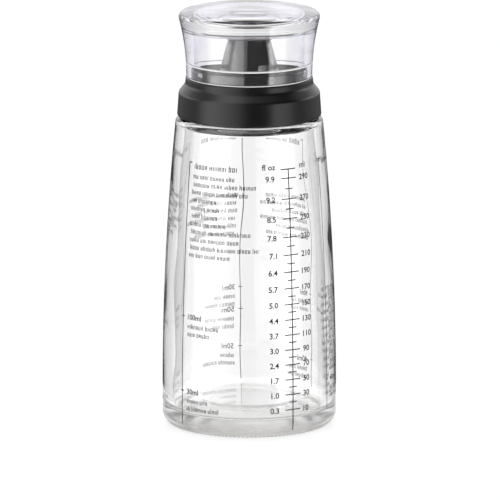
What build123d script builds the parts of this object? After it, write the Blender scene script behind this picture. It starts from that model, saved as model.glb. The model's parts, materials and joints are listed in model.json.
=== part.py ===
from build123d import *
import math
import os

# Salad dressing shaker bottle: a tapered glass bottle, a threaded collar that clamps a pouring insert over
# the glass lip, and a clear pull-off cap with a silicone seal. Origin at the centre of the base, +Z up, mm.
# The front of the bottle faces -Y, and azimuths are counted from there towards +X.

# Glass body
base_radius = 36.0
heel_height = 5.0
heel_depth = 3.0
bearing_width = 3.0
push_up = 5.0
push_up_radius = 17.0
push_up_round = 6.0
floor_edge = 5.4
glass_floor = 11.0
floor_disc_radius = 20.2
floor_disc_round = 3.0
inner_heel_round = 2.6
upright_height = 2.0
shoulder_radius = 30.5
taper_height = 113.2
shoulder_round = 2.4
glass_wall = 4.2
inner_shoulder_drop = 2.4
inner_shoulder_rise = 1.8
inner_shoulder_lean = 0.15
inner_shoulder_round = 1.4
neck_foot_rise = 1.2
neck_foot_round = 3.0
stipple_count = 120
stipple_radius = 0.55
stipple_inset = 1.6

# Glass neck
shoulder_ledge = 7.1
neck_wall = 3.4
neck_height = 12.4
neck_root_round = 1.0
lip_round = 0.9

# Screw thread, the same ridge on the glass and, turned inwards, in the collar
thread_starts = 2
thread_lead = 10.0
thread_wrap_share = 0.65
thread_root_share = 0.56
thread_crest_share = 0.3
thread_depth = 1.4
thread_gap = 0.4
thread_foot_gap = 1.6

# Lip gasket
gasket_thickness = 1.1
gasket_inset = 0.4
gasket_slip = 0.6
stack_gap = 0.1

# Pouring insert
flange_thickness = 1.2
flange_width = 1.4
flange_slip = 0.2
insert_neck_wall = 1.6
insert_rim_rise = 4.4
insert_rim_round = 0.5
insert_floor = 1.6
plug_skirt_depth = 4.6
plug_skirt_wall = 1.3
plug_skirt_slip = 0.3
spout_base_radius = 11.3
spout_base_height = 3.0
spout_mouth_radius = 8.6
spout_height = 15.0
spout_wall = 1.5
spout_round = 0.6
spout_root_round = 0.8

# Screw collar
collar_foot_gap = 0.4
collar_inset = 0.7
collar_draft = 0.7
collar_foot_round = 1.0
collar_top_wall = 1.0
collar_waist_flare = 0.25
collar_waist_drop = 2.9
collar_waist_round = 2.5
collar_shoulder_drop = 6.2
collar_shoulder_round = 2.0
collar_top_plate = 1.6
collar_top_round = 0.4
collar_sleeve_wall = 1.3
collar_skirt_wall = 1.6
collar_groove_depth = 7.4
insert_slip = 0.15

# Clear cap
cap_gap = 0.2
cap_inset = 0.25
cap_foot_round = 0.3
cap_fit_gap = 0.3
cap_skirt_depth = 6.1
cap_step_width = 1.3
cap_bore_draft = 0.3
cap_ceiling_round = 2.0
cap_flare = 3.25
cap_rim_rise = 3.4
cap_rim_round = 1.0
cap_dome_inset = 1.0
cap_dome_rise = 4.8
cap_crown_rise = 6.8
nub_count = 3
nub_first_azimuth = -54.0
nub_rise = 2.9
nub_width = 2.8
nub_tallness = 1.6
nub_clearance = 0.06

# Spout seal
seal_gap = 0.1
seal_overlap = 0.7
seal_thickness = 2.5
seal_edge_round = 0.5
seal_plug_slip = 0.3
seal_plug_depth = 3.0
seal_plug_wall = 1.8
seal_plug_round = 0.4
seal_seat_gap = 0.1
seal_seat_width = 1.4
seal_seat_depth = 1.2

# How deep an added feature is rooted in the wall that it grows from
rooting = 0.4

# Radii and heights that follow, from the ground up: glass, gasket, insert, collar, seal and cap
widest_height = glass_floor + upright_height
shoulder_height = widest_height + taper_height
ledge_height = shoulder_height + shoulder_round
lip_height = ledge_height + neck_height
neck_radius = shoulder_radius - shoulder_ledge
neck_bore = neck_radius - neck_wall
sleeve_bore = neck_radius + thread_depth + thread_gap
gasket_bottom = lip_height + stack_gap
flange_bottom = gasket_bottom + gasket_thickness + stack_gap
flange_top = flange_bottom + flange_thickness
plate_bottom = flange_top + stack_gap
collar_top = plate_bottom + collar_top_plate
collar_foot = ledge_height + collar_foot_gap
insert_neck_radius = sleeve_bore - flange_slip - flange_width
insert_rim = collar_top + insert_rim_rise
spout_top = insert_rim + spout_height
spout_bore = spout_mouth_radius - spout_wall
seal_bottom = spout_top + seal_gap
cap_foot = collar_top + cap_gap
cap_ceiling = seal_bottom + seal_thickness
cap_bore = insert_neck_radius + cap_fit_gap - cap_step_width
seal_radius = spout_mouth_radius + seal_overlap


def side_radius(height):
    """Outer radius of the glass side, which leaves the heel upright and leans in steadily to the shoulder."""
    rise_share = (height - widest_height) / taper_height
    return base_radius - (base_radius - shoulder_radius) * rise_share**2


def outline(*corners):
    """Closed outline through corners given as radius from the axis, height and rounding."""
    FilletPolyline(*[corner[:2] for corner in corners], radius=[corner[2] for corner in corners], close=True)


def helical_ridge(radius, depth):
    """Ridge of trapezoid section carried up the helix, outwards from a neck or inwards from a sleeve."""
    pitch = thread_lead / thread_starts
    root = pitch * thread_root_share / 2
    crest = pitch * thread_crest_share / 2
    root_depth = math.copysign(rooting, depth)
    with BuildLine(Plane.XY.offset(ledge_height + thread_foot_gap + root)) as path:
        Helix(pitch=thread_lead, height=thread_lead * thread_wrap_share, radius=radius)
    with BuildSketch(Plane(origin=path.line @ 0, x_dir=(1, 0, 0), z_dir=(0, -1, 0))) as section:
        with BuildLine():
            Polyline(
                (-root_depth, -root),
                (0, -root),
                (depth, -crest),
                (depth, crest),
                (0, root),
                (-root_depth, root),
                close=True,
            )
        make_face()
    return sweep(section.sketch, path=path.line, is_frenet=True, mode=Mode.PRIVATE)


def add_thread(radius, depth, phase_angle):
    """Adds every start of the thread to the part that is being built, turned to its phase."""
    ridge = helical_ridge(radius, depth)
    with PolarLocations(0, thread_starts, start_angle=phase_angle):
        add(ridge)


# Glass bottle: tapered body, floor raised in the middle over a hollow base, rounded shoulder, threaded neck
bearing_outer = base_radius - heel_depth
bearing_inner = bearing_outer - bearing_width
stipple_length = stipple_inset + heel_depth / 2
stipple_middle = bearing_outer - stipple_inset + stipple_length / 2
lower_bore = base_radius - glass_wall
inner_side_top = shoulder_height - inner_shoulder_drop
inner_side_radius = side_radius(inner_side_top) - glass_wall

with BuildPart() as glass_bottle:
    with BuildSketch(Plane.XZ):
        with BuildLine():
            FilletPolyline((0, push_up), (push_up_radius, push_up), (bearing_inner, 0), radius=push_up_round)
            Line((bearing_inner, 0), (bearing_outer, 0))
            TangentArc((base_radius, heel_height), (bearing_outer, 0), tangent=(0, -1))
            Line((base_radius, heel_height), (base_radius, widest_height))
            TangentArc((base_radius, widest_height), (shoulder_radius, shoulder_height), tangent=(0, 1))
            TangentArc(
                (shoulder_radius, shoulder_height),
                (shoulder_radius - shoulder_round, ledge_height),
                tangent=(0, 1),
            )
            FilletPolyline(
                (shoulder_radius - shoulder_round, ledge_height),
                (neck_radius, ledge_height),
                (neck_radius, lip_height),
                (neck_bore, lip_height),
                (neck_bore, shoulder_height + neck_foot_rise),
                (inner_side_radius - inner_shoulder_lean, inner_side_top + inner_shoulder_rise),
                (inner_side_radius, inner_side_top),
                radius=[neck_root_round, lip_round, lip_round, neck_foot_round, inner_shoulder_round],
            )
            TangentArc((lower_bore, widest_height), (inner_side_radius, inner_side_top), tangent=(0, 1))
            FilletPolyline(
                (lower_bore, widest_height),
                (lower_bore, floor_edge),
                (floor_disc_radius, glass_floor),
                (0, glass_floor),
                radius=[inner_heel_round, floor_disc_round],
            )
            Line((0, glass_floor), (0, push_up))
        make_face()
    revolve(axis=Axis.Z)
    add_thread(neck_radius, thread_depth, 0)
    with PolarLocations(stipple_middle, stipple_count):
        Cylinder(stipple_radius, stipple_length, rotation=(0, 90, 0), mode=Mode.SUBTRACT)
glass_bottle.part.label = "glass_bottle"

# Lip gasket: flat silicone ring between the glass lip and the insert's flange
with BuildPart() as lip_gasket:
    with BuildSketch(Plane.XY.offset(gasket_bottom)):
        Circle(sleeve_bore - gasket_slip)
        Circle(neck_bore + gasket_inset, mode=Mode.SUBTRACT)
    extrude(amount=gasket_thickness)
lip_gasket.part.label = "lip_gasket"

# Pouring insert: sealing skirt in the glass neck, clamped flange, short neck, floor and hollow tapered spout
plug_outer = neck_bore - plug_skirt_slip
plug_inner = plug_outer - plug_skirt_wall
insert_bore = insert_neck_radius - insert_neck_wall
flange_radius = sleeve_bore - flange_slip
spout_knee = insert_rim + spout_base_height

with BuildPart() as pour_spout:
    with BuildSketch(Plane.XZ):
        with BuildLine():
            outline(
                (plug_inner, flange_bottom - plug_skirt_depth, 0),
                (plug_outer, flange_bottom - plug_skirt_depth, 0),
                (plug_outer, flange_bottom, 0),
                (flange_radius, flange_bottom, 0),
                (flange_radius, flange_top, 0),
                (insert_neck_radius, flange_top, 0),
                (insert_neck_radius, insert_rim, insert_rim_round),
                (spout_base_radius, insert_rim, spout_root_round),
                (spout_base_radius, spout_knee, 0),
                (spout_mouth_radius, spout_top, spout_round),
                (spout_bore, spout_top, 0),
                (spout_base_radius - spout_wall, spout_knee, 0),
                (spout_base_radius - spout_wall, insert_rim - insert_floor, 0),
                (insert_bore, insert_rim - insert_floor, 0),
                (insert_bore, flange_top, 0),
                (plug_inner, flange_top, 0),
            )
        make_face()
    revolve(axis=Axis.Z)
pour_spout.part.label = "pour_spout"

# Screw collar: threaded sleeve inside a smooth outer skirt, joined by the shoulder and the top plate
foot_radius = shoulder_radius - collar_inset
skirt_top_radius = foot_radius - collar_draft
collar_top_radius = sleeve_bore + collar_top_wall
groove_inner = sleeve_bore + collar_sleeve_wall
groove_outer = foot_radius - collar_skirt_wall

with BuildPart() as screw_collar:
    with BuildSketch(Plane.XZ):
        with BuildLine():
            outline(
                (sleeve_bore, collar_foot, 0),
                (foot_radius, collar_foot, collar_foot_round),
                (skirt_top_radius, collar_top - collar_shoulder_drop, collar_shoulder_round),
                (collar_top_radius + collar_waist_flare, collar_top - collar_waist_drop, collar_waist_round),
                (collar_top_radius, collar_top, collar_top_round),
                (insert_neck_radius + insert_slip, collar_top, 0),
                (insert_neck_radius + insert_slip, plate_bottom, 0),
                (sleeve_bore, plate_bottom, 0),
            )
        make_face()
    revolve(axis=Axis.Z)
    add_thread(sleeve_bore, -thread_depth, -180.0 / thread_starts)
    with BuildSketch(Plane.XY.offset(collar_foot)):
        Circle(groove_outer)
        Circle(groove_inner, mode=Mode.SUBTRACT)
    extrude(amount=collar_groove_depth, mode=Mode.SUBTRACT)
screw_collar.part.label = "screw_collar"

# Clear cap: flared thick wall, domed top, stepped skirt with three grip nubs, seat ring for the seal
cap_foot_radius = collar_top_radius - cap_inset
cap_rim_radius = cap_foot_radius + cap_flare
skirt_bore = insert_neck_radius + cap_fit_gap
cap_step = cap_foot + cap_skirt_depth
rim_height = cap_ceiling + cap_rim_rise
crown_height = cap_ceiling + cap_crown_rise
dome_edge = (cap_rim_radius - cap_dome_inset, cap_ceiling + cap_dome_rise)
seat_inner = seal_radius + seal_seat_gap

with BuildPart() as clear_cap:
    with BuildSketch(Plane.XZ) as cap_section:
        with BuildLine():
            Line((0, cap_ceiling), (seat_inner, cap_ceiling))
            Polyline(
                (seat_inner, cap_ceiling),
                (seat_inner, cap_ceiling - seal_seat_depth),
                (seat_inner + seal_seat_width, cap_ceiling - seal_seat_depth),
                (seat_inner + seal_seat_width, cap_ceiling),
            )
            FilletPolyline(
                (seat_inner + seal_seat_width, cap_ceiling),
                (cap_bore - cap_bore_draft, cap_ceiling),
                (cap_bore, cap_step),
                (skirt_bore, cap_step),
                (skirt_bore, cap_foot),
                (cap_foot_radius - cap_foot_round, cap_foot),
                radius=[cap_ceiling_round, 0, 0, 0],
            )
            TangentArc(
                (cap_foot_radius - cap_foot_round, cap_foot),
                (cap_foot_radius, cap_foot + cap_foot_round),
                tangent=(1, 0),
            )
            flare = TangentArc(
                (cap_foot_radius, cap_foot + cap_foot_round),
                (cap_rim_radius, rim_height),
                tangent=(0, 1),
            )
            Line(flare @ 1, dome_edge)
            TangentArc((0, crown_height), dome_edge, tangent=(1, 0))
            Line((0, crown_height), (0, cap_ceiling))
        make_face()
        fillet(cap_section.vertices().group_by(Axis.X)[-1], cap_rim_round)
    revolve(axis=Axis.Z)
    for nub_number in range(nub_count):
        azimuth = nub_first_azimuth + 360.0 * nub_number / nub_count
        facing = Plane(
            origin=(0, 0, cap_foot + nub_rise),
            x_dir=(math.cos(math.radians(azimuth)), math.sin(math.radians(azimuth)), 0),
            z_dir=(math.sin(math.radians(azimuth)), -math.cos(math.radians(azimuth)), 0),
        )
        with BuildSketch(facing.offset(insert_neck_radius + nub_clearance)):
            SlotOverall(nub_width, nub_tallness)
        extrude(amount=cap_fit_gap - nub_clearance + rooting)
clear_cap.part.label = "clear_cap"

# Spout seal: silicone disc under the cap's ceiling, with a hollow plug that enters the spout's mouth
seal_plug_radius = spout_bore - seal_plug_slip

with BuildPart() as spout_seal:
    with BuildSketch(Plane.XZ):
        with BuildLine():
            outline(
                (0, cap_ceiling, 0),
                (seal_radius, cap_ceiling, 0),
                (seal_radius, seal_bottom, seal_edge_round),
                (seal_plug_radius, seal_bottom, 0),
                (seal_plug_radius, seal_bottom - seal_plug_depth, seal_plug_round),
                (seal_plug_radius - seal_plug_wall, seal_bottom - seal_plug_depth, seal_plug_round),
                (seal_plug_radius - seal_plug_wall, seal_bottom, 0),
                (0, seal_bottom, 0),
            )
        make_face()
    revolve(axis=Axis.Z)
spout_seal.part.label = "spout_seal"

os.makedirs("parts", exist_ok=True)
export_step(glass_bottle.part, "parts/glass_bottle.step")
export_step(lip_gasket.part, "parts/lip_gasket.step")
export_step(pour_spout.part, "parts/pour_spout.step")
export_step(screw_collar.part, "parts/screw_collar.step")
export_step(clear_cap.part, "parts/clear_cap.step")
export_step(spout_seal.part, "parts/spout_seal.step")
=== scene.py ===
"""Salad dressing shaker bottle: clear glass body with printed measuring marks, matt black screw collar,
glossy black pouring insert and a clear pull-off cap.

Sizes are in millimetres, and azimuths run from the front (-Y) to +X.
"""

import json
import logging
import math
from collections.abc import Callable, Sequence
from dataclasses import dataclass, field
from enum import Enum

import bpy
import numpy as np
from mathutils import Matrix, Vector

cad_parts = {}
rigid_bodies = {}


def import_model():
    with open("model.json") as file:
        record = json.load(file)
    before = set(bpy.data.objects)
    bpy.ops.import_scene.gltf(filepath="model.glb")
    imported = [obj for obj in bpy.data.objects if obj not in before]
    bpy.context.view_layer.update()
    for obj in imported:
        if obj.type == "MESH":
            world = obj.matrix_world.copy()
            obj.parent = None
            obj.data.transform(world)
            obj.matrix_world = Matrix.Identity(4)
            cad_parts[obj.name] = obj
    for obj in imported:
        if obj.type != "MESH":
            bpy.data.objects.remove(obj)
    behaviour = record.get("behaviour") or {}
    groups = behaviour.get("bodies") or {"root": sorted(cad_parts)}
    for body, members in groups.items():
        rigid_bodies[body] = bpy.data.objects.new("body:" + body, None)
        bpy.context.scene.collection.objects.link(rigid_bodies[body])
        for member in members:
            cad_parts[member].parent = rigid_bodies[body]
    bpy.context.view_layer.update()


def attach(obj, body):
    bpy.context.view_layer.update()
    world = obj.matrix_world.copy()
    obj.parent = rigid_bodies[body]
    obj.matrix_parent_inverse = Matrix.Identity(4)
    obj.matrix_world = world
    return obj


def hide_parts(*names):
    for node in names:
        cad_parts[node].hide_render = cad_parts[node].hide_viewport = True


log = logging.getLogger("shaker_bottle")

MM = 0.001
NEAR = 0.01
"""A radius or height that is off by less than this counts as the same."""

Array = np.ndarray
Relief = Callable[[Array, Array, Array], tuple[Array, Array]]
Triple = tuple[float, float, float]
Stop = tuple[float, float]


class Body(Enum):
    """The four bodies that pieces ride on."""

    BOTTLE = "bottle"
    SEAL_RING = "seal_ring"
    CLOSURE = "closure"
    CAP = "cap"


class Slot(Enum):
    """Material slots of the record."""

    GLASS = "clear_glass"
    SILICONE = "silicone"
    GLOSSY_BLACK = "glossy_black"
    MATT_BLACK = "matt_black"
    CLEAR_PLASTIC = "clear_plastic"


# Shader wiring


class Wire:
    """A shader value on its way through a node tree; arithmetic on it adds Math nodes."""

    def __init__(self, kit: "NodeKit", socket: bpy.types.NodeSocket) -> None:
        """Args:
        kit: the tree that the value belongs to.
        socket: the output socket that gives it.
        """
        self.kit = kit
        self.socket = socket

    def maths(self, operation: str, *values: "Wire | float") -> "Wire":
        """Applies a Math node's operation to values, in their order."""
        return self.kit.add("ShaderNodeMath", {"operation": operation}, dict(enumerate(values)))

    def __add__(self, other: "Wire | float") -> "Wire":
        """Sum."""
        return self.maths("ADD", self, other)

    __radd__ = __add__

    def __mul__(self, other: "Wire | float") -> "Wire":
        """Product."""
        return self.maths("MULTIPLY", self, other)

    __rmul__ = __mul__

    def __sub__(self, other: "Wire | float") -> "Wire":
        """Difference."""
        return self.maths("SUBTRACT", self, other)

    def __rsub__(self, other: float) -> "Wire":
        """Difference from a number."""
        return self.maths("SUBTRACT", other, self)

    def __truediv__(self, other: "Wire | float") -> "Wire":
        """Quotient."""
        return self.maths("DIVIDE", self, other)

    def __gt__(self, other: "Wire | float") -> "Wire":
        """One where this value is greater, else zero."""
        return self.maths("GREATER_THAN", self, other)

    def within(self, low: float, high: float) -> "Wire":
        """One where this value is between two others, else zero."""
        return (self > low) * (1 - (self > high))

    def softened(self) -> "Wire":
        """The value kept between zero and one, with a gentle start and end."""
        return self.kit.add("ShaderNodeMapRange", {"interpolation_type": "SMOOTHSTEP"}, {"Value": self})


class NodeKit:
    """Adds nodes to one tree."""

    def __init__(self, tree: bpy.types.NodeTree) -> None:
        """Args:
        tree: a node tree, which is emptied.
        """
        self.tree = tree
        tree.nodes.clear()

    def add(
        self,
        kind: str,
        settings: dict[str, object] | None = None,
        sockets: dict[str | int, object] | None = None,
        output: str | int = 0,
    ) -> Wire:
        """Adds one node.

        Args:
            kind: the node's type.
            settings: its properties, with "stops" for a ramp's positions and colours.
            sockets: values or wires of its inputs, by name or number.
            output: the output that is handed back.

        Returns:
            That output as a wire.
        """
        node = self.tree.nodes.new(kind)
        for name, value in (settings or {}).items():
            if name == "stops":
                ramp = node.color_ramp.elements
                while len(ramp) > 1:
                    ramp.remove(ramp[-1])
                for number, (position, colour) in enumerate(value):
                    stop = ramp[0] if number == 0 else ramp.new(position)
                    stop.position = position
                    stop.color = colour if isinstance(colour, tuple) else grey(colour)
            else:
                setattr(node, name, value)
        for name, value in (sockets or {}).items():
            if isinstance(value, Wire):
                self.tree.links.new(value.socket, node.inputs[name])
            else:
                node.inputs[name].default_value = value
        return Wire(self, node.outputs[output] if len(node.outputs) else node.inputs[0])

    def axes(self, vector: Wire) -> list[Wire]:
        """The three components of a vector."""
        return [self.add("ShaderNodeSeparateXYZ", sockets={"Vector": vector}, output=axis) for axis in "XYZ"]

    def noise(self, place: Wire, size: float, detail: float) -> Wire:
        """Noise with clouds of a size in millimetres."""
        sockets = {"Vector": place, "Scale": 1 / (size * MM), "Detail": detail}
        return self.add("ShaderNodeTexNoise", sockets=sockets)

    def bump(self, waves: Wire, height: float) -> Wire:
        """Normal of a surface that waves raise by a height in millimetres."""
        sockets = {"Height": waves, "Strength": 1.0, "Distance": height * MM}
        return self.add("ShaderNodeBump", sockets=sockets)

    def ramp(self, stops: Sequence[tuple[float, object]], value: Wire) -> Wire:
        """Colour ramp over a value."""
        return self.add("ShaderNodeValToRGB", {"stops": stops}, {"Fac": value})

    def mixed(self, blend: str, share: Wire | float, first: object, second: object) -> Wire:
        """Blend of two colours."""
        settings = {"data_type": "RGBA", "blend_type": blend}
        return self.add("ShaderNodeMix", settings, {0: share, 6: first, 7: second}, 2)

    def mixed_shaders(self, share: Wire | float, first: Wire, second: Wire) -> Wire:
        """Blend of two shaders."""
        return self.add("ShaderNodeMixShader", sockets={"Fac": share, 1: first, 2: second})

    def principled(self, sockets: dict[str | int, object]) -> Wire:
        """General surface shader."""
        return self.add("ShaderNodeBsdfPrincipled", sockets=sockets)

    def surface(self, shader: Wire) -> None:
        """Makes a shader the material's surface."""
        self.add("ShaderNodeOutputMaterial", sockets={"Surface": shader})


def new_material(name: str) -> tuple[bpy.types.Material, NodeKit, Wire]:
    material = bpy.data.materials.new(name)
    material.use_nodes = True
    kit = NodeKit(material.node_tree)
    return material, kit, kit.add("ShaderNodeTexCoord", output="Object")


def grey(level: float) -> tuple[float, float, float, float]:
    """Opaque grey of one linear level."""
    return (level, level, level, 1.0)


# Finishes


@dataclass(frozen=True)
class ClearFinish:
    """Clear glass or plastic, with softly uneven surfaces and edges greyed by painted shade, which stands
    partly for light's longer path through the thick glass.

    Args:
        tint: levels of the colour over the slant of the view, painted shade that darkens the edges and stands
            partly for light's longer path through the glass.
        hue: how little each of red, green and blue takes the shaded tint.
        frosted: lower end, upper end and outer radius of each band that scatters light, frosted white that
            also stands in as painted highlights.
        dim_band: lower end, upper end and level of a band whose colour is darkened, painted shade that lets
            less light through.
        clear_below: height under which the share clear_share of the shaded tint is left out.
        foot_roughness: roughness at the very bottom, gone at rough_height.
        foot_hue: colour up to foot_height, with painted shade that darkens it by rim_level at the bearing
            ring.
    """

    name: str
    index: float
    wave_size: float
    wave_height: float
    tint: tuple[Stop, ...]
    hue: Triple = (1.0, 1.0, 1.0)
    frosted: tuple[Triple, ...] = ()
    frost_share: float = 0.9
    dim_band: Triple | None = None
    clear_below: float = 0.0
    clear_share: float = 0.75
    foot_roughness: float = 0.0
    rough_height: float = 9.0
    foot_hue: Triple = (1.0, 1.0, 1.0)
    foot_height: float = 6.0
    rim_level: float = 0.5

    def material(self) -> bpy.types.Material:
        """Returns:
        The finish as a material: painted edge shade grows with the slant of the view, broad noise sways the
        surface, the foot is rougher and warmer and darkened by painted shade at its bearing ring, a band may
        be darkened as painted shade, and the frosted bands scatter light with a white that also stands in as
        painted highlights.
        """
        material, kit, place = new_material(self.name)
        east, north, height = kit.axes(place)
        slant = kit.add("ShaderNodeLayerWeight", sockets={"Blend": 0.5}, output="Facing")
        # Painted shade: the colour darkens as the view grazes the surface, standing partly for the longer
        # path through the glass.
        stops = [(turn, (*(level ** (1.0 / part) for part in self.hue), 1.0)) for turn, level in self.tint]
        # Painted shade: the foot's colour goes darker at the bearing ring, in the lowest millimetre.
        foot, rim = (*self.foot_hue, 1.0), (*(self.rim_level * part for part in self.foot_hue), 1.0)
        foot_stops = [(0.0, rim), (0.09, rim), (0.14, foot), (0.5, foot), (1.0, 1.0)]
        clear = (1 - (height > self.clear_below * MM)) * self.clear_share
        tint = kit.mixed("MIX", clear, kit.ramp(stops, slant), grey(1.0))
        tint = kit.mixed("MULTIPLY", 1.0, tint, kit.ramp(foot_stops, height / (self.foot_height * MM)))
        # Painted shade: the colour is darkened in a band of heights.
        if self.dim_band:
            low, high, level = self.dim_band
            tint = kit.mixed("MULTIPLY", height.within(low * MM, high * MM), tint, grey(level))
        shader = kit.principled(
            {
                "Base Color": tint,
                "Roughness": (1 - (height / (self.rough_height * MM)).softened()) * self.foot_roughness,
                "IOR": self.index,
                "Transmission Weight": 1.0,
                "Normal": kit.bump(kit.noise(place, self.wave_size, 1.0), self.wave_height),
            }
        )
        # Frosted bands of near-white, which also stand in as painted highlights.
        if self.frosted:
            square = east * east + north * north
            radius = square.maths("SQRT", square)
            frost_highlight: Wire | float = 0.0
            for low, high, widest in self.frosted:
                frost_highlight = frost_highlight + height.within(low * MM, high * MM) * (1 - (radius > widest * MM))
            white = kit.principled({"Base Color": grey(0.9), "Roughness": 0.5})
            shader = kit.mixed_shaders(frost_highlight * self.frost_share, shader, white)
        kit.surface(shader)
        return material


@dataclass(frozen=True)
class MouldedFinish:
    """Opaque moulded plastic or rubber: one colour, a fine grain, and gloss that drifts a little.

    Args:
        glow_depth: how deep light goes into rubber.
        dull_band: lower and upper end of a band with hardly any gloss.
        cloud_size: size of the clouds in colour and roughness.
        shade: share of the colour that is left where it is darkest.
    """

    name: str
    colour: Triple
    gloss_roughness: float
    roughness_drift: float
    grain_size: float
    grain_height: float
    specular: float = 0.5
    glow_depth: float = 0.0
    dull_band: tuple[float, float] | None = None
    dull_roughness: float = 0.5
    dull_specular: float = 0.08
    cloud_size: float = 9.0
    shade: float = 0.86

    def material(self) -> bpy.types.Material:
        """The finish as a material: two sizes of noise move the roughness and raise the grain."""
        material, kit, place = new_material(self.name)
        clouds = kit.noise(place, self.cloud_size, 2.0)
        shade = tuple(self.shade * level for level in self.colour)
        sockets: dict[str | int, object] = {
            "Base Color": kit.ramp([(0.35, (*shade, 1.0)), (0.65, (*self.colour, 1.0))], clouds),
            "Roughness": self.gloss_roughness + self.roughness_drift * (clouds - 0.5),
            "Specular IOR Level": self.specular,
            "Normal": kit.bump(kit.noise(place, self.grain_size, 3.0), self.grain_height),
        }
        if self.glow_depth:
            sockets |= {"Subsurface Weight": 1.0, "Subsurface Scale": self.glow_depth * MM}
        shader = kit.principled(sockets)
        if self.dull_band:
            low, high = (edge * MM for edge in self.dull_band)
            sockets |= {"Roughness": self.dull_roughness, "Specular IOR Level": self.dull_specular}
            dull = kit.principled(sockets)
            shader = kit.mixed_shaders(kit.axes(place)[2].within(low, high), shader, dull)
        kit.surface(shader)
        return material


@dataclass(frozen=True)
class InkFinish:
    """Screen-printed dark ink, thinner in places."""

    name: str
    colour: Triple
    speck_size: float = 0.5
    thinning: float = 2.2
    roughness: float = 0.5
    speck_roughness: float = 0.2
    specular: float = 0.05

    def material(self) -> bpy.types.Material:
        """The finish as a material: fine noise lightens the ink in specks."""
        material, kit, place = new_material(self.name)
        specks = kit.noise(place, self.speck_size, 2.0)
        thin = tuple(min(1.0, self.thinning * level) for level in self.colour)
        colour = kit.ramp([(0.5, (*self.colour, 1.0)), (0.8, (*thin, 1.0))], specks)
        roughness = self.roughness + self.speck_roughness * specks
        sockets = {"Base Color": colour, "Roughness": roughness, "Specular IOR Level": self.specular}
        kit.surface(kit.principled(sockets))
        return material


DARK_INK = InkFinish("dark_ink", (0.020, 0.020, 0.022))
THIN_INK = InkFinish("thin_ink", (0.14, 0.14, 0.145))


# Profiles and surfaces of revolution


def tangent_arc(start: Sequence[float], end: Sequence[float], tangent: Sequence[float], steps: int) -> Array:
    """Arc from start to end that leaves start along tangent.

    Its centre lies on the normal at the start, as far from it as the end is.

    Args:
        start: radius and height where it begins.
        end: radius and height where it ends.
        tangent: direction at the start.
        steps: number of chords.

    Returns:
        Points, both ends included.
    """
    first, last = np.asarray(start, float), np.asarray(end, float)
    along = np.asarray(tangent, float) / np.linalg.norm(tangent)
    normal = np.array([-along[1], along[0]])
    chord = last - first
    reach = chord @ chord / (2.0 * (chord @ normal))
    centre = first + normal * reach
    begin = math.atan2(*(first - centre)[::-1])
    finish = math.atan2(*(last - centre)[::-1])
    sweep = (finish - begin) % math.tau if reach > 0 else -((begin - finish) % math.tau)
    angles = begin + sweep * np.linspace(0.0, 1.0, steps + 1)
    return centre + abs(reach) * np.stack([np.cos(angles), np.sin(angles)], axis=1)


def rounded(corners: Sequence[Triple], steps: int = 6, closed: bool = True) -> Array:
    """Outline through corners, each with a tangent arc of its own rounding.

    Args:
        corners: radius, height and rounding of each corner.
        steps: chords of each rounding.
        closed: whether the last corner leads back to the first.

    Returns:
        Points of the outline.
    """
    points = np.asarray([corner[:2] for corner in corners], float)
    pieces: list[Array] = []
    count = len(corners)
    for number, (_, _, rounding) in enumerate(corners):
        here = points[number]
        if rounding <= 0 or (not closed and number in (0, count - 1)):
            pieces.append(here[None, :])
            continue
        back = points[number - 1] - here
        ahead = points[(number + 1) % count] - here
        back, ahead = back / np.linalg.norm(back), ahead / np.linalg.norm(ahead)
        setback = rounding / math.tan(math.acos(float(np.clip(back @ ahead, -1, 1))) / 2)
        pieces.append(tangent_arc(here + back * setback, here + ahead * setback, -back, steps))
    return np.concatenate(pieces)


def divided(points: Array, longest: float, closed: bool = True) -> Array:
    """Outline with its long runs cut into even steps.

    Args:
        points: the outline.
        longest: the longest step that may stay.
        closed: whether the last point leads back to the first.

    Returns:
        The outline with the added points.
    """
    ahead = np.roll(points, -1, axis=0) if closed else points[1:]
    here = points if closed else points[:-1]
    counts = np.maximum(1, np.ceil(np.linalg.norm(ahead - here, axis=1) / longest)).astype(int)
    run = np.repeat(np.arange(len(here)), counts)
    share = (np.arange(len(run)) - np.repeat(np.cumsum(counts) - counts, counts)) / counts[run]
    cut = here[run] + (ahead[run] - here[run]) * share[:, None]
    return cut if closed else np.concatenate([cut, points[-1:]])


def linked(name: str, data: bpy.types.ID) -> bpy.types.Object:
    """New object with some data, in the scene."""
    thing = bpy.data.objects.new(name, data)
    bpy.context.collection.objects.link(thing)
    return thing


def mesh_object(
    name: str, points: Array, faces: list[list[int]], sharp_angle: float = 35.0
) -> bpy.types.Object:
    """Puts points and faces into a smooth-shaded object at the origin.

    Args:
        name: the piece's name.
        points: vertex places in millimetres.
        faces: vertex numbers of each face.
        sharp_angle: edges that turn by more degrees than this stay sharp.

    Returns:
        The linked object.
    """
    mesh = bpy.data.meshes.new(name)
    mesh.from_pydata((points * MM).tolist(), [], faces)
    mesh.polygons.foreach_set("use_smooth", np.ones(len(mesh.polygons), bool))
    mesh.set_sharp_from_angle(angle=math.radians(sharp_angle))
    mesh.update()
    return linked(name, mesh)


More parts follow.
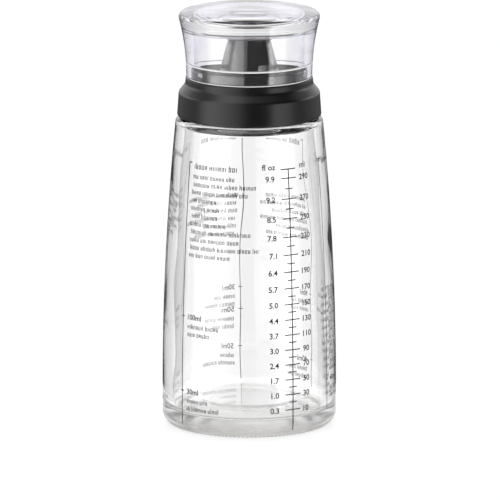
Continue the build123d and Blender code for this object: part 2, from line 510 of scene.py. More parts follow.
def turned(
    name: str,
    profile: Array,
    segments: int,
    finish: ClearFinish | MouldedFinish | None = None,
    relief: Relief | None = None,
) -> bpy.types.Object:
    """Closed surface of a profile carried round the axis.

    Point (i, j) is (r sin a, -r cos a, z), with r and z from profile row i, after the relief has moved
    them, and a the j-th of evenly spaced azimuths. A profile whose two ends lie on the axis gets one vertex
    at each pole, and any other is a loop whose last row meets the first. The faces are turned round if they
    enclose a negative volume.

    Args:
        name: the piece's name.
        profile: rows of radius and height.
        segments: number of azimuths.
        finish: what its material is made from.
        relief: moves radius and height as a function of azimuth, radius and height.

    Returns:
        The piece.
    """
    has_poles = bool(abs(profile[0, 0]) < 1e-9 and abs(profile[-1, 0]) < 1e-9)
    rows = profile[1:-1] if has_poles else profile
    azimuth = np.linspace(0.0, math.tau, segments, endpoint=False)[None, :]
    radius = np.repeat(rows[:, :1], segments, axis=1)
    height = np.repeat(rows[:, 1:], segments, axis=1)
    if relief:
        radius, height = relief(azimuth, radius, height)
    points = np.stack([radius * np.sin(azimuth), -radius * np.cos(azimuth), height], axis=-1).reshape(-1, 3)
    number = np.arange(len(rows) * segments).reshape(len(rows), segments)
    near, far = (number[:-1], number[1:]) if has_poles else (number, np.roll(number, -1, axis=0))
    sides = [near, np.roll(near, -1, axis=1), np.roll(far, -1, axis=1), far]
    quads = np.stack(sides, axis=-1).reshape(-1, 4)
    caps = np.empty((0, 3), int)
    if has_poles:
        low, high = len(points), len(points) + 1
        points = np.concatenate([points, [[0.0, 0.0, profile[0, 1]], [0.0, 0.0, profile[-1, 1]]]])
        first, last = number[0], number[-1]
        bottom = np.stack([np.full(segments, low), np.roll(first, -1), first], axis=1)
        top = np.stack([np.full(segments, high), last, np.roll(last, -1)], axis=1)
        caps = np.concatenate([bottom, top])
    triangles = np.concatenate([quads[:, [0, 1, 2]], quads[:, [0, 2, 3]], caps])
    corner = points[triangles]
    if np.einsum("ij,ij->", corner[:, 0], np.cross(corner[:, 1], corner[:, 2])) < 0:
        quads, caps = quads[:, ::-1], caps[:, ::-1]
    piece = mesh_object(name, points, quads.tolist() + caps.tolist())
    if finish:
        piece.data.materials.append(finish.material())
    return piece


@dataclass(frozen=True)
class ScrewThread:
    """Two-start screw ridge of trapezoid section on a round wall."""

    first_angle: float
    start_height: float = 131.6
    starts: int = 2
    lead: float = 10.0
    turns: float = 0.65
    root_half: float = 1.4
    crest_half: float = 0.75
    depth: float = 1.4

    def height_of_ridge(self, azimuth: Array, height: Array) -> Array:
        """How far the ridge stands from the wall.

        For each start, the middle of the ridge climbs by the lead in one turn, and the ridge falls off
        linearly from its crest's half width to its root's half width on both sides.

        Args:
            azimuth: azimuths in radians.
            height: heights in millimetres.

        Returns:
            Distance from the wall, never negative.
        """
        ridge = np.zeros(np.broadcast_shapes(azimuth.shape, height.shape))
        for start in range(self.starts):
            begin = math.radians(self.first_angle + 360.0 * start / self.starts)
            turn = ((azimuth - begin) % math.tau) / math.tau
            middle = self.start_height + self.lead * turn
            flank = (self.root_half - np.abs(height - middle)) / (self.root_half - self.crest_half)
            ridge = np.maximum(ridge, np.clip(flank, 0.0, 1.0) * (turn <= self.turns))
        return self.depth * ridge


# Glass bottle


@dataclass
class GlassBottle:
    """Tapered glass body with a thick floor, a knurled bearing ring and a threaded neck.

    Each of the waves in the inner wall is a strength, a number of crests, a climb and a phase.
    """

    base_radius: float = 36.0
    heel_height: float = 5.0
    heel_depth: float = 3.0
    bearing_width: float = 3.0
    push_up: float = 5.0
    push_up_radius: float = 17.0
    push_up_round: float = 6.0
    floor_edge: float = 5.4
    floor_top: float = 11.0
    floor_disc_radius: float = 20.2
    floor_disc_round: float = 3.0
    inner_heel: float = 2.6
    widest_height: float = 13.0
    shoulder_radius: float = 30.5
    shoulder_height: float = 126.2
    shoulder_round: float = 2.4
    wall: float = 4.2
    inner_top: float = 123.8
    ledge_height: float = 128.6
    neck_radius: float = 23.4
    neck_bore: float = 20.0
    lip_height: float = 141.0
    lip_round: float = 0.9
    thread_step: float = 0.36
    knurls: int = 120
    knurl_depth: float = 0.55
    knurl_from: float = 31.4
    knurl_to: float = 34.6
    wall_waver: float = 0.10
    waver_fade: float = 12.0
    waves: tuple[tuple[float, int, float, float], ...] = (
        (1.0, 3, 0.045, 0.7), (0.7, 5, -0.08, 2.1), (0.5, 9, 0.13, 0.0),
    )
    segments: int = 600
    mark_curve: tuple[float, float, float, float] = (0.93, -2.117, 32.714, 8.306)
    finish: ClearFinish = ClearFinish(
        name="clear_glass", index=1.5, wave_size=24.0, wave_height=0.05,
        # painted edge shade over the slant of the view
        tint=((0.0, 1.0), (0.47, 1.0), (0.56, 0.62), (0.76, 0.52), (0.82, 0.3), (0.9, 0.12), (1.0, 0.05)),
        # warm foot colour, with painted shade darker at the bearing ring
        foot_roughness=0.35, foot_hue=(1.0, 0.98, 0.95), clear_below=11.6,
    )

    def side_radius(self, height: Array) -> Array:
        """Outer radius at a height: a round heel, an upright ring, then a side that leans in as the square
        of the height above it."""
        rise = np.clip((height - self.widest_height) / (self.shoulder_height - self.widest_height), 0.0, 1.0)
        drop = np.clip(self.heel_height - height, 0.0, self.heel_height)
        curve = (self.heel_height**2 + self.heel_depth**2) / (2.0 * self.heel_depth)
        heel = curve - np.sqrt(curve**2 - drop**2)
        return self.base_radius - (self.base_radius - self.shoulder_radius) * rise**2 - heel

    def bores(self) -> tuple[float, float]:
        """Inner radius at the foot and at the top of the side."""
        top = float(self.side_radius(np.float64(self.inner_top))) - self.wall
        return self.base_radius - self.wall, top

    def inner_radius(self, height: Array) -> Array:
        """Inner radius at a height: upright at the floor, then a side that leans in like the outer one."""
        low, top = self.bores()
        rise = np.clip((height - self.widest_height) / (self.inner_top - self.widest_height), 0.0, 1.0)
        return low - (low - top) * rise**2

    def fill_height(self, millilitres: Array) -> Array:
        """Height of a volume's mark: a cubic in the volume, close to the curve of the filled inside."""
        return np.polyval(self.mark_curve, np.asarray(millilitres) / 100.0)

    def profile(self) -> Array:
        """The section from the middle of the hollow base, round the outside, over the lip and down inside."""
        upright = (0, 1)
        bearing_outer = self.base_radius - self.heel_depth
        bearing_inner = bearing_outer - self.bearing_width
        low_bore, top_bore = self.bores()
        shoulder = (self.shoulder_radius, self.shoulder_height)
        ledge_radius = self.shoulder_radius - self.shoulder_round
        push_up = [(0.0, self.push_up, 0), (self.push_up_radius, self.push_up, self.push_up_round)]
        outside = [
            rounded([*push_up, (bearing_inner, 0.0, 0)], closed=False),
            divided(np.array([[bearing_inner, 0.0], [bearing_outer, 0.0]]), 0.45, closed=False)[1:-1],
            tangent_arc((self.base_radius, self.heel_height), (bearing_outer, 0), (0, -1), 14)[::-1],
            tangent_arc((self.base_radius, self.widest_height), shoulder, upright, 21),
            tangent_arc(shoulder, (ledge_radius, self.ledge_height), upright, 7)[1:],
        ]
        neck = rounded(
            [
                (ledge_radius - 0.5, self.ledge_height, 0),
                (self.neck_radius, self.ledge_height, 1.0),
                (self.neck_radius, self.lip_height, self.lip_round),
                (self.neck_bore, self.lip_height, self.lip_round),
                (self.neck_bore, self.shoulder_height + 1.2, 3.0),
                (top_bore - 0.15, self.shoulder_height - 0.6, 1.4), (top_bore, self.inner_top, 0),
            ],
            closed=False,
        )
        split = int(np.nonzero(np.abs(neck[:, 0] - self.neck_radius) < NEAR)[0][0])
        threaded = divided(neck[split : split + 2], self.thread_step, closed=False)
        floor = [
            (low_bore, self.widest_height, 0), (low_bore, self.floor_edge, self.inner_heel),
            (self.floor_disc_radius, self.floor_top, self.floor_disc_round),
            (0.0, self.floor_top, 0),
        ]
        side = tangent_arc((low_bore, self.widest_height), (top_bore, self.inner_top), upright, 26)
        inside = [side[::-1][1:], rounded(floor, closed=False)[1:]]
        return np.concatenate([*outside, neck[:split], threaded, neck[split + 2 :], *inside])

    def relief(self, azimuth: Array, radius: Array, height: Array) -> tuple[Array, Array]:
        """Adds the screw thread, the knurled ring and the waver of the blown inner wall.

        The knurl lifts the ring's underside by a half round at each of its even places. The waver is a sum
        of slow waves round and up the wall, which fades out at both its ends.

        Args:
            azimuth: azimuths in radians.
            radius: radii in millimetres.
            height: heights in millimetres.

        Returns:
            The moved radii and heights.
        """
        on_neck = np.abs(radius - self.neck_radius) < NEAR
        ridge = ScrewThread(90.0).height_of_ridge(azimuth, height)
        grown = radius + np.where(on_neck, ridge, 0.0)
        pitch = math.tau / self.knurls
        across = np.abs((azimuth + pitch / 2) % pitch - pitch / 2) * radius / self.knurl_depth
        low_ring = (radius > self.knurl_from) & (radius < self.knurl_to) & (height < self.heel_height / 2)
        notch = self.knurl_depth * np.sqrt(np.clip(1.0 - across**2, 0.0, 1.0))
        raised = height + np.where(low_ring, np.maximum(notch - height, 0.0), 0.0)
        on_wall = (height > self.widest_height) & (height < self.inner_top - NEAR)
        inside = on_wall & (radius < self.inner_radius(height) + NEAR)
        waver = np.zeros_like(radius)
        for strength, crests, climb, phase in self.waves:
            waver = waver + strength * np.sin(crests * azimuth + climb * height + phase)
        for distance in (height - self.widest_height, self.inner_top - height):
            waver = waver * np.clip(distance / self.waver_fade, 0.0, 1.0)
        return grown + np.where(inside, self.wall_waver * waver, 0.0), raised

    def build(self) -> bpy.types.Object:
        """The glass piece, dressed, riding and standing for its CAD node."""
        glass = turned("bottle_glass", self.profile(), self.segments, self.finish, self.relief)
        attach(glass, Body.BOTTLE.value)
        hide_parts("glass_bottle")
        return glass


# Print on the glass


@dataclass
class Print:
    """Ink laid on the glass: flat patches are drawn as distance from an upright line, at an azimuth in
    degrees, and height, and are then wrapped on the glass."""

    glass: GlassBottle
    azimuth: float
    lift: float = 0.03
    widest_cell: float = 1.4
    tallest_cell: float = 3.0
    font_height: float = 0.70
    font_swell: float = 0.02
    finish: InkFinish = DARK_INK
    points: list[Array] = field(default_factory=list)
    faces: list[list[int]] = field(default_factory=list)
    count: int = 0

    def lay(self, across: Array, height: Array, faces: list[list[int]]) -> None:
        """Wraps a flat patch on the glass.

        A point at distance x from the line and height z goes to radius R(z) plus the lift, and to the
        line's azimuth plus x / R(z).

        Args:
            across: distances along the glass, to the right as it is seen from outside.
            height: heights.
            faces: vertex numbers of each face of the patch.
        """
        radius = self.glass.side_radius(height) + self.lift
        turn = math.radians(self.azimuth) + across / radius
        self.points.append(np.stack([radius * np.sin(turn), -radius * np.cos(turn), height], axis=-1))
        self.faces += [[corner + self.count for corner in face] for face in faces]
        self.count += len(across)

    def bar(self, left: float, right: float, bottom: float, top: float) -> None:
        """Lays a filled rectangle, cut into a grid so that it follows the glass."""
        columns = 1 + max(1, math.ceil((right - left) / self.widest_cell))
        rows = 1 + max(1, math.ceil((top - bottom) / self.tallest_cell))
        across, height = np.meshgrid(np.linspace(left, right, columns), np.linspace(bottom, top, rows))
        number = np.arange(rows * columns).reshape(rows, columns)
        quads = np.stack([number[:-1, :-1], number[:-1, 1:], number[1:, 1:], number[1:, :-1]], axis=-1)
        self.lay(across.ravel(), height.ravel(), quads.reshape(-1, 4).tolist())

    def numerals(self, text: str, x: float, z: float, height: float = 2.3, anchor: float = 0.0) -> None:
        """Lays plain numerals or a unit mark.

        Args:
            text: the numerals.
            x: distance of the anchor from the line.
            z: height of the numerals' middle.
            height: height of a numeral.
            anchor: share of the text's width that lies left of x.
        """
        curve = bpy.data.curves.new("numerals", "FONT")
        curve.body = text
        curve.resolution_u = 3
        curve.offset = self.font_swell
        holder = linked("numerals", curve)
        flat = bpy.data.meshes.new_from_object(holder.evaluated_get(bpy.context.evaluated_depsgraph_get()))
        place = np.empty(len(flat.vertices) * 3)
        flat.vertices.foreach_get("co", place)
        place = place.reshape(-1, 3)[:, :2] * height / self.font_height
        faces = [list(polygon.vertices) for polygon in flat.polygons]
        for data, owner in ((holder, bpy.data.objects), (curve, bpy.data.curves), (flat, bpy.data.meshes)):
            owner.remove(data)
        place[:, 0] += x - place[:, 0].min() - anchor * np.ptp(place[:, 0])
        self.lay(place[:, 0], place[:, 1] + z - height / 2, faces)

    def greeking(self, x: float, z: float, length: float, size: float, seed: int) -> None:
        """Lays a line of plain strokes that stand in for small print: stems, single or in pairs joined at
        random at the top, middle or foot, in groups with gaps between them.

        Args:
            x: distance of the line's start.
            z: height of the strokes' foot.
            length: length of the line.
            size: height of a stroke, which all the other measures are shares of.
            seed: seed of the random choice.
        """
        chance = np.random.default_rng(seed)
        pen, gap, group_gap = 0.2 * size, 0.26 * size, 0.4 * size
        bar = 0.8 * pen
        widths, levels, tall_share, tall = (0.0, 0.4, 0.4, 0.48), (0.0, 0.42, 0.86), 0.2, 1.38
        at = x
        while at < x + length - 2 * size:
            for _ in range(int(chance.integers(3, 9))):
                if at > x + length:
                    break
                width = size * float(chance.choice(widths))
                top = z + size * (tall if chance.random() < tall_share else 1.0)
                self.bar(at, at + pen, z, top)
                if width > 0.0:
                    self.bar(at + width, at + width + pen, z, z + size)
                    for level in chance.choice(levels, int(chance.integers(1, 3)), replace=False):
                        foot = z + level * size
                        self.bar(at + pen, at + width, foot, foot + bar)
                at += width + pen + gap
            at += group_gap

    def build(self, name: str) -> bpy.types.Object:
        """Makes the piece of ink.

        Args:
            name: its name.

        Returns:
            The piece, riding on the bottle.
        """
        ink = mesh_object(name, np.concatenate(self.points), self.faces, 180.0)
        ink.data.materials.append(self.finish.material())
        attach(ink, Body.BOTTLE.value)
        return ink


@dataclass
class MeasuringScale:
    """Volume scale: an upright line with ticks, millilitres on its right and fluid ounces on its left."""

    glass: GlassBottle
    azimuth: float = 30.0
    foot: float = 3.0
    head: float = 111.8
    pen: float = 0.48
    tick_pen: float = 0.432
    long_tick: float = 7.0
    short_tick: float = 3.7
    millilitre_gap: float = 5.2
    ounce_gap: float = 6.3
    unit_rise: float = 1.2
    unit_shifts: tuple[float, float] = (0.4, 0.6)
    ounces: tuple[float, ...] = (0.3, 1.0, 1.7, 2.4, 3.0, 3.7, 4.4, 5.0, 5.7, 6.4, 7.1, 7.8, 8.5, 9.2, 9.9)

    def build(self) -> bpy.types.Object:
        """The scale as one piece of ink."""
        ink = Print(self.glass, self.azimuth)
        half, half_tick = self.pen / 2, self.tick_pen / 2
        ink.bar(-half, half, self.foot, self.head)
        ink.bar(-self.long_tick / 2, self.long_tick / 2, self.head - half, self.head + half)
        volumes = np.arange(10, 300, 10)
        for volume, level in zip(volumes, self.glass.fill_height(volumes)):
            is_long = volume % 20 == 10
            reach = (self.long_tick if is_long else self.short_tick) / 2
            ink.bar(-reach, reach, level - half_tick, level + half_tick)
            if is_long:
                ounce = self.ounces[int(volume) // 20]
                ink.numerals(str(volume), self.millilitre_gap, level)
                ink.numerals(f"{ounce:.1f}", -self.ounce_gap, level, anchor=1.0)
        unit_height = self.head + self.unit_rise
        right, left = self.unit_shifts
        ink.numerals("ml", self.millilitre_gap + right, unit_height)
        ink.numerals("fl oz", -self.ounce_gap + left, unit_height, anchor=1.0)
        return ink.build("measuring_scale")


@dataclass
class MixingPanel:
    """A mixing guide: an upright line with fill marks, bold strokes at the top and rows of small strokes.

    Args:
        glass: the bottle that it is printed on.
        name: the piece's name.
        azimuth: azimuth of the line in degrees.
        portions: millilitres from each fill mark to the next.
        rows: lengths of the rows of small strokes.
        foot: lower end of the line.
        head: upper end of the line.
        first_row: height of the highest row.
        pen: width of the line.
        finish: the ink.
    """

    glass: GlassBottle
    name: str
    azimuth: float
    portions: tuple[int, ...]
    rows: tuple[float, ...]
    foot: float = 4.0
    head: float = 113.6
    first_row: float = 107.0
    pen: float = 0.45
    finish: InkFinish = DARK_INK
    title_length: float = 20.0
    title_stroke: float = 1.75
    title_indent: float = 3.0
    title_drop: float = 2.6
    hook: float = 1.4
    row_indents: tuple[float, float] = (2.4, 3.0)
    row_pitch: float = 3.26
    stroke: float = 1.45
    half_tick: float = 0.9
    portion_height: float = 2.2
    portion_indent: float = 2.8
    portion_drop: float = 4.9
    portion_rows: tuple[float, float] = (11.0, 15.5)

    def build(self) -> bpy.types.Object:
        """The panel as one piece of ink."""
        ink = Print(self.glass, self.azimuth, finish=self.finish)
        half = self.pen / 2
        seed = int(abs(self.azimuth)) * 100
        ink.bar(-half, half, self.foot, self.head)
        ink.bar(half, self.hook, self.head - self.pen, self.head)
        title = self.head - self.title_drop
        ink.greeking(self.title_indent, title, self.title_length, self.title_stroke, seed)
        for number, length in enumerate(self.rows):
            level = self.first_row - self.row_pitch * number
            indent = self.row_indents[number % 2]
            ink.greeking(indent, level, length, self.stroke, seed + number + 1)
        for number, level in enumerate(self.glass.fill_height(np.cumsum(self.portions))):
            ink.bar(-self.half_tick, self.half_tick, level - half, level + half)
            portion = f"{self.portions[number]}ml"
            ink.numerals(portion, self.portion_indent, level, self.portion_height)
            for line in range(2):
                foot = level - self.portion_drop - self.row_pitch * line
                length = self.portion_rows[(number + line) % 2]
                row_seed = seed + 50 + 2 * number + line
                ink.greeking(self.portion_indent, foot, length, self.stroke, row_seed)
        return ink.build(self.name)


@dataclass
class BackPanel(MixingPanel):
    """A mixing guide at the back of the bottle, seen through the glass and printed thinner."""

    foot: float = 10.0
    head: float = 115.6
    first_row: float = 88.5
    pen: float = 0.38
    finish: InkFinish = THIN_INK


# Closure


@dataclass
class LipGasket:
    """Flat silicone ring between the lip and the insert."""

    inner: float = 20.4
    outer: float = 24.6
    bottom: float = 141.1
    top: float = 142.2
    edge: float = 0.25
    finish: MouldedFinish = MouldedFinish(
        name="milky_silicone", colour=(0.80, 0.77, 0.70), gloss_roughness=0.42,
        roughness_drift=0.1, grain_size=0.6, grain_height=0.01, specular=0.4, glow_depth=0.6,
    )

    def build(self) -> bpy.types.Object:
        """The ring, dressed, riding and standing for its CAD node."""
        inner, outer, bottom, top = self.inner, self.outer, self.bottom, self.top
        corners = [(inner, bottom), (outer, bottom), (outer, top), (inner, top)]
        outline = rounded([(*corner, self.edge) for corner in corners], 4)
        ring = turned("lip_gasket_ring", outline, 192, self.finish)
        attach(ring, Body.SEAL_RING.value)
        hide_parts("lip_gasket")
        return ring


@dataclass
class PouringInsert:
    """Glossy insert: plug skirt, clamped flange, short neck, floor and tapered hollow spout."""

    plug_outer: float = 19.7
    plug_inner: float = 18.4
    plug_bottom: float = 137.7
    flange_radius: float = 25.0
    flange_bottom: float = 142.3
    flange_top: float = 143.5
    neck_radius: float = 23.6
    neck_bore: float = 22.0
    rim: float = 149.6
    floor: float = 1.6
    spout_base: float = 11.3
    spout_knee: float = 152.6
    spout_mouth: float = 8.6
    spout_top: float = 164.6
    spout_wall: float = 1.5
    finish: MouldedFinish = MouldedFinish(
        name="glossy_black_plastic", colour=(0.0035, 0.0035, 0.004), gloss_roughness=0.09,
        roughness_drift=0.04, grain_size=2.5, grain_height=0.003, specular=1.0,
        dull_band=(149.5, 149.7),
    )

    def build(self) -> bpy.types.Object:
        """The insert, dressed, riding and standing for its CAD node."""
        floor_bottom = self.rim - self.floor
        spout_bore = self.spout_base - self.spout_wall
        outline = rounded(
            [
                (self.plug_inner, self.plug_bottom, 0.15),
                (self.plug_outer, self.plug_bottom, 0.4), (self.plug_outer, self.flange_bottom, 0),
                (self.flange_radius, self.flange_bottom, 0.1),
                (self.flange_radius, self.flange_top, 0.1), (self.neck_radius, self.flange_top, 0),
                (self.neck_radius, self.rim, 0.5), (self.spout_base, self.rim, 0.8),
                (self.spout_base, self.spout_knee, 1.2), (self.spout_mouth, self.spout_top, 0.6),
                (self.spout_mouth - self.spout_wall, self.spout_top, 0.3),
                (spout_bore, self.spout_knee, 0.8), (spout_bore, floor_bottom, 0.3),
                (self.neck_bore, floor_bottom, 0.5), (self.neck_bore, self.flange_top, 0),
                (self.plug_inner, self.flange_top, 0),
            ]
        )
        insert = turned("pouring_insert", divided(outline, 1.5), 288, self.finish)
        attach(insert, Body.CLOSURE.value)
        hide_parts("pour_spout")
        return insert


@dataclass
class ScrewCollar:
    """Matt collar: smooth skirt, rounded shoulder, waist under the cap and a threaded sleeve inside."""

    foot: float = 129.0
    foot_radius: float = 29.8
    skirt_top: float = 139.0
    skirt_top_radius: float = 29.1
    waist: float = 142.3
    waist_radius: float = 26.45
    top: float = 145.2
    top_radius: float = 26.2
    hole_radius: float = 23.75
    plate_bottom: float = 143.6
    sleeve_bore: float = 25.2
    groove_inner: float = 26.5
    groove_outer: float = 28.2
    groove_depth: float = 7.4
    finish: MouldedFinish = MouldedFinish(
        name="matt_black_plastic", colour=(0.0040, 0.0040, 0.0044), gloss_roughness=0.30,
        roughness_drift=0.05, grain_size=0.28, grain_height=0.006, specular=0.3,
    )

    def relief(self, azimuth: Array, radius: Array, height: Array) -> tuple[Array, Array]:
        """Moves the sleeve's bore inwards where its thread runs, a quarter turn from the glass's."""
        on_bore = np.abs(radius - self.sleeve_bore) < NEAR
        ridge = ScrewThread(0.0).height_of_ridge(azimuth, height)
        return radius - np.where(on_bore, ridge, 0.0), height

    def build(self) -> bpy.types.Object:
        """The collar, dressed, riding and standing for its CAD node."""
        groove_top = self.foot + self.groove_depth
        outline = rounded(
            [
                (self.sleeve_bore, self.foot, 0), (self.groove_inner, self.foot, 0.2),
                (self.groove_inner, groove_top, 0.3), (self.groove_outer, groove_top, 0.3),
                (self.groove_outer, self.foot, 0.2), (self.foot_radius, self.foot, 0.9),
                (self.skirt_top_radius, self.skirt_top, 2.0), (self.waist_radius, self.waist, 2.5),
                (self.top_radius, self.top, 0.4), (self.hole_radius, self.top, 0.15),
                (self.hole_radius, self.plate_bottom, 0), (self.sleeve_bore, self.plate_bottom, 0),
            ],
            8,
        )
        collar = turned("black_screw_collar", divided(outline, 0.6), 360, self.finish, self.relief)
        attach(collar, Body.CLOSURE.value)
        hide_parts("screw_collar")
        return collar


# Cap


@dataclass
class ClearCap:
    """Clear cap: flared thick wall, low dome, stepped bore with grip nubs and a seat ring for the seal."""

    foot: float = 145.4
    foot_radius: float = 25.95
    foot_round: float = 0.3
    rim_radius: float = 29.2
    rim_height: float = 170.6
    dome_radius: float = 28.2
    dome_height: float = 172.0
    crown: float = 174.0
    rim_round: float = 0.9
    skirt_bore: float = 23.9
    step_height: float = 151.5
    bore_low: float = 22.6
    bore_high: float = 22.3
    ceiling: float = 167.2
    ceiling_round: float = 2.0
    seat_inner: float = 9.4
    seat_outer: float = 10.8
    seat_depth: float = 1.2
    nubs: int = 3
    nub_first: float = -54.0
    nub_height: float = 148.3
    nub_width: float = 2.8
    nub_tallness: float = 1.6
    nub_depth: float = 0.24
    nub_edge: float = 0.25
    finish: ClearFinish = ClearFinish(
        name="clear_plastic", index=1.53, wave_size=30.0, wave_height=0.02,
        # painted edge shade over the slant of the view, bluish where it is darkest
        tint=((0.0, 0.97), (0.3, 0.95), (0.5, 0.8), (0.8, 0.55), (1.0, 0.15)),
        hue=(1.02, 1.0, 1.6),
        # frosted white at the foot, the step and the grip nubs, also standing in as painted highlights
        frosted=((145.3, 145.75, 60.0), (151.25, 151.7, 60.0), (147.4, 149.2, 23.87)),
        # painted shade on the upper flare
        dim_band=(167.3, 171.3, 0.8),
    )

    def profile(self) -> Array:
        """The section from the ceiling's middle, down the bore, up the flared side and over the dome."""
        seat_bottom = self.ceiling - self.seat_depth
        inside = rounded(
            [
                (0.0, self.ceiling, 0), (self.seat_inner, self.ceiling, 0),
                (self.seat_inner, seat_bottom, 0.2), (self.seat_outer, seat_bottom, 0.3),
                (self.seat_outer, self.ceiling, 0.3),
                (self.bore_high, self.ceiling, self.ceiling_round),
                (self.bore_low, self.step_height, 0.15), (self.skirt_bore, self.step_height, 0.1),
                (self.skirt_bore, self.foot, 0.15),
                (self.foot_radius - self.foot_round, self.foot, 0),
            ],
            7,
            closed=False,
        )
        flare_foot = (self.foot_radius, self.foot + self.foot_round)
        heel = tangent_arc((self.foot_radius - self.foot_round, self.foot), flare_foot, (1, 0), 4)[1:-1]
        flare = tangent_arc(flare_foot, (self.rim_radius, self.rim_height), (0, 1), 22)
        dome = tangent_arc((0.0, self.crown), (self.dome_radius, self.dome_height), (1, 0), 24)[::-1]
        corners = [(*flare[-2], 0), (*flare[-1], self.rim_round), (*dome[0], self.rim_round), (*dome[1], 0)]
        rim = rounded(corners, closed=False)[1:-1]
        return np.concatenate([divided(inside, 0.5, closed=False), heel, flare[:-1], rim, dome[1:]])

    def relief(self, azimuth: Array, radius: Array, height: Array) -> tuple[Array, Array]:
        """Raises the grip nubs on the skirt's bore, each a flat capsule with soft edges."""
        on_bore = np.abs(radius - self.skirt_bore) < NEAR
        rise = np.zeros_like(radius)
        half = (self.nub_width - self.nub_tallness) / 2
        for number in range(self.nubs):
            place = math.radians(self.nub_first + 360.0 * number / self.nubs)
            across = ((azimuth - place + math.pi) % math.tau - math.pi) * self.skirt_bore
            away = np.hypot(np.maximum(np.abs(across) - half, 0.0), height - self.nub_height)
            rise = np.maximum(rise, np.clip((self.nub_tallness / 2 - away) / self.nub_edge, 0.0, 1.0))
        return radius - np.where(on_bore, self.nub_depth * rise, 0.0), height

    def build(self) -> bpy.types.Object:
        """The cap, dressed, riding and standing for its CAD node."""
        cap = turned("clear_pull_cap", self.profile(), 480, self.finish, self.relief)
        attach(cap, Body.CAP.value)
        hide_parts("clear_cap")
        return cap


@dataclass
class SpoutSeal:
    """Silicone disc under the cap's ceiling, with a hollow plug for the spout's mouth."""

    radius: float = 9.3
    ceiling: float = 167.2
    gap: float = 0.02
    bottom: float = 164.7
    plug_radius: float = 6.8
    plug_bore: float = 5.0
    plug_bottom: float = 161.7
    finish: MouldedFinish = MouldedFinish(
        name="cream_silicone", colour=(0.5, 0.46, 0.42), gloss_roughness=0.45, roughness_drift=0.1,
        grain_size=0.6, grain_height=0.01, specular=0.4, glow_depth=0.6,
    )

    def build(self) -> bpy.types.Object:
        """The seal, dressed, riding and standing for its CAD node."""
        top = self.ceiling - self.gap
        outline = rounded(
            [
                (0.0, top, 0), (self.radius, top, 0.1), (self.radius, self.bottom, 0.5),
                (self.plug_radius, self.bottom, 0.1), (self.plug_radius, self.plug_bottom, 0.4),
                (self.plug_bore, self.plug_bottom, 0.4), (self.plug_bore, self.bottom, 0.2),
                (0.0, self.bottom, 0),
            ],
            5,
            closed=False,
        )
        seal = turned("spout_seal_disc", divided(outline, 1.2, closed=False), 160, self.finish)
        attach(seal, Body.CAP.value)
        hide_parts("spout_seal")
        return seal


# Studio


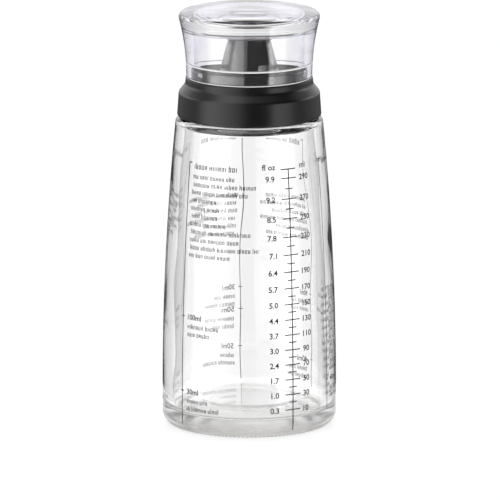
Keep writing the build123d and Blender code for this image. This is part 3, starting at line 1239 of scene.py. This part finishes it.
@dataclass
class Studio:
    """White sweep, softboxes in the surroundings and the camera."""

    elevation: float = 12.0
    distance: float = 3500.0
    focal_length: float = 609.0
    aim: Triple = (0.3, 0.0, 72.0)
    floor_radius: float = 80.0
    floor_grey: float = 0.36
    floor_glow: float = 0.72
    floor_gloss: float = 0.055
    eye_level: float = 1.02
    matt_level: float = 1.12
    inner_level: float = 1.06
    softbox_level: float = 3.6

    def floor(self) -> bpy.types.Object:
        """A round pale floor with a faint gloss."""
        ring = np.array([[0.0, -0.15], [self.floor_radius, -0.15], [self.floor_radius, -1.0], [0.0, -1.0]])
        floor = turned("studio_floor", ring, 96)
        material, kit, place = new_material("white_floor")
        grain = kit.noise(place, 17.0, 2.0)
        cover = kit.add("ShaderNodeBsdfDiffuse", sockets={"Color": grey(self.floor_grey)})
        glow = kit.add("ShaderNodeEmission", sockets={"Color": grey(1.0), "Strength": self.floor_glow})
        matt = kit.add("ShaderNodeAddShader", sockets={0: cover, 1: glow})
        roughness = 0.02 + 0.01 * grain
        gloss = kit.add("ShaderNodeBsdfGlossy", sockets={"Color": grey(1.0), "Roughness": roughness})
        kit.surface(kit.mixed_shaders(self.floor_gloss, matt, gloss))
        floor.data.materials.append(material)
        return floor

    def surroundings(self) -> None:
        """Lights the scene from all round, each kind of ray by itself.

        The eye sees white, and so does light that has passed through the glass, with a darker ceiling.
        Matt surfaces meet an even white. Mirror reflections meet a dark studio with a large softbox on the
        left, a strip on the right, low flanks, a white backdrop with a dark line across and a pale ceiling,
        and first reflections from outside a thin bright crescent too. Reflections inside the glass meet a
        plain white back. All are functions of the direction's azimuth and rise, and a rise of 0.5 is level.
        """
        world = bpy.data.worlds.new("studio")
        bpy.context.scene.world = world
        world.use_nodes = True
        kit = NodeKit(world.node_tree)
        east, north, up = kit.axes(kit.add("ShaderNodeTexCoord", output="Generated"))
        turn = east.maths("ARCTAN2", east, 0.0 - north) / math.tau + 0.5
        rise = up * 0.5 + 0.5

        def card(rows: list[Stop], scale: float = 1.0) -> Wire:
            """Brightness over the rise, from positions and levels."""
            return kit.ramp(rows, rise) * scale

        def ring(rows: list[Stop], scale: float = 1.0) -> Wire:
            """Brightness round the scene, from azimuths in degrees and levels."""
            return kit.ramp([(degrees / 360.0 + 0.5, level) for degrees, level in rows], turn) * scale

        def twin(rows: list[Stop], scale: float = 1.0) -> Wire:
            """Brightness round the scene, the same on both sides."""
            return ring([(-degrees, level) for degrees, level in reversed(rows)] + rows, scale)

        left = [(-105, 0.0), (-95, 0.1), (-85, 0.3), (-78, 0.8), (-66, 1.0), (-40, 0.75), (-20, 0.42)]
        front = ring([*left, (-11, 0.38), (-9, 0.03), (36, 0.03), (90, 0.0)], self.softbox_level)
        right = [(36, 0.0), (39, 1.0), (44, 1.0), (50, 0.7), (66, 0.6), (76, 0.2), (95, 0.1), (104, 0.0)]
        strip = ring(right, self.softbox_level) * card([(0.55, 1.0), (0.63, 0.0)])
        left_flank = [(-140, 0.0), (-128, 0.8), (-98, 0.8), (-92, 0.0)]
        right_flank = [(94, 0.0), (98, 1.0), (124, 1.0), (132, 0.0)]
        lifted = card([(0.53, 0.0), (0.56, 1.0), (0.7, 1.0), (0.75, 0.0)])
        flanks = ring(left_flank + right_flank, 1.6) * lifted
        behind = twin([(95, 0.0), (110, 1.0)])
        line_across = [(0.66, 0.85), (0.71, 0.08), (0.73, 0.08), (0.76, 0.65)]
        backdrop = card([(0.5, 0.68), (0.58, 1.0), *line_across], 1.4)
        crescent = card([(0.676, 0.0), (0.686, 1.0), (0.698, 1.0), (0.703, 0.0)], 1.8) * behind
        level_view = card([(0.43, 1.0), (0.47, 0.0)])
        edge = twin([(100, 0.0), (115, 0.7), (150, 0.8), (170, 1.0)], 0.97)
        rim = twin([(164, 0.0), (172, 1.0)], 0.97)
        overhead = card([(0.35, 0.3), (0.42, 0.1), (0.5, 0.0), (0.9, 0.0), (0.97, 0.9)])
        passed = card([(0.0, 1.0), (0.66, 1.0), (0.74, 0.25), (0.9, 0.1), (1.0, 0.1)])
        back = behind * backdrop * (1 - edge * level_view)
        mirrored = front + strip + flanks + back + (1 - behind) * overhead
        inner_back = behind * self.inner_level * (1 - rim * level_view)
        inner = (inner_back + (1 - behind) * (front + strip) / self.softbox_level) * passed

        path = "ShaderNodeLightPath"
        eye = kit.add(path, output="Is Camera Ray")
        matt = kit.add(path, output="Diffuse Depth") > 0.5
        passes = kit.add(path, output="Transmission Depth")
        untouched = 1 - (passes > 0.5)
        outside = untouched + (passes > 3.5)
        shiny = (kit.add(path, output="Glossy Depth") > 0.5) * (1 - matt)
        through = (1 - eye) * (1 - shiny) * (1 - matt)
        level = eye * self.eye_level + shiny * outside * mirrored + shiny * untouched * crescent
        level = level + matt * self.matt_level + through * passed + shiny * (1 - outside) * inner
        light = kit.add("ShaderNodeBackground", sockets={"Color": grey(1.0), "Strength": level})
        kit.add("ShaderNodeOutputWorld", sockets={"Surface": light})

    def camera(self) -> bpy.types.Object:
        """The camera, in front of the bottle and a little above it."""
        data = bpy.data.cameras.new("camera")
        data.sensor_width = 36.0
        data.lens = self.focal_length
        data.clip_start, data.clip_end = 0.1, 20.0
        camera = linked("camera", data)
        rise = math.radians(self.elevation)
        back = Vector((0.0, -math.cos(rise), math.sin(rise)))
        camera.location = Vector(self.aim) * MM + back * self.distance * MM
        camera.rotation_mode = "QUATERNION"
        camera.rotation_quaternion = (-back).to_track_quat("-Z", "Y")
        bpy.context.scene.camera = camera
        return camera

    def build(self) -> None:
        """Sets up the floor, the light, the camera and how light is traced through glass."""
        self.floor()
        self.surroundings()
        self.camera()
        scene = bpy.context.scene
        scene.view_settings.view_transform = "Standard"
        scene.view_settings.look = "None"
        scene.cycles.use_denoising = True
        scene.cycles.max_bounces = 28
        scene.cycles.transmission_bounces = 28
        scene.cycles.glossy_bounces = 12
        scene.cycles.diffuse_bounces = 4
        scene.cycles.sample_clamp_indirect = 6.0


def main() -> None:
    logging.basicConfig(level=logging.INFO, format="%(name)s: %(message)s")
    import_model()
    glass = GlassBottle()
    left_rows = (22.0, 28.0, 25.5, 12.0, 13.0, 15.5, 17.0, 29.5, 22.0, 31.5, 21.0)
    right_rows = (24.0, 21.0, 26.0, 18.0, 27.0, 20.0, 23.0, 16.0, 25.0, 22.0, 26.0)
    back_right_rows = (22.0, 26.0, 19.0, 25.0, 17.0, 24.0)
    back_rows = (26.0, 20.0, 24.0, 27.0, 18.0, 23.0)
    back_left_rows = (23.0, 25.0, 19.0, 26.0, 21.0, 17.0)
    parts = [
        glass,
        MeasuringScale(glass),
        MixingPanel(glass, "mixing_panel_left", -50.0, (30, 100), left_rows),
        MixingPanel(glass, "mixing_panel_right", 63.0, (40,), right_rows, foot=8.0, first_row=57.0),
        BackPanel(glass, "mixing_panel_back_right", 125.0, (40, 90), back_right_rows),
        BackPanel(glass, "mixing_panel_back", 186.0, (50, 50, 30), back_rows),
        BackPanel(glass, "mixing_panel_back_left", 248.0, (30, 90), back_left_rows, first_row=96.0),
        LipGasket(),
        PouringInsert(),
        ScrewCollar(),
        ClearCap(),
        SpoutSeal(),
    ]
    for part in parts:
        piece = part.build()
        log.info("%s: %d faces", piece.name, len(piece.data.polygons))
    Studio().build()


if __name__ == "__main__":
    main()
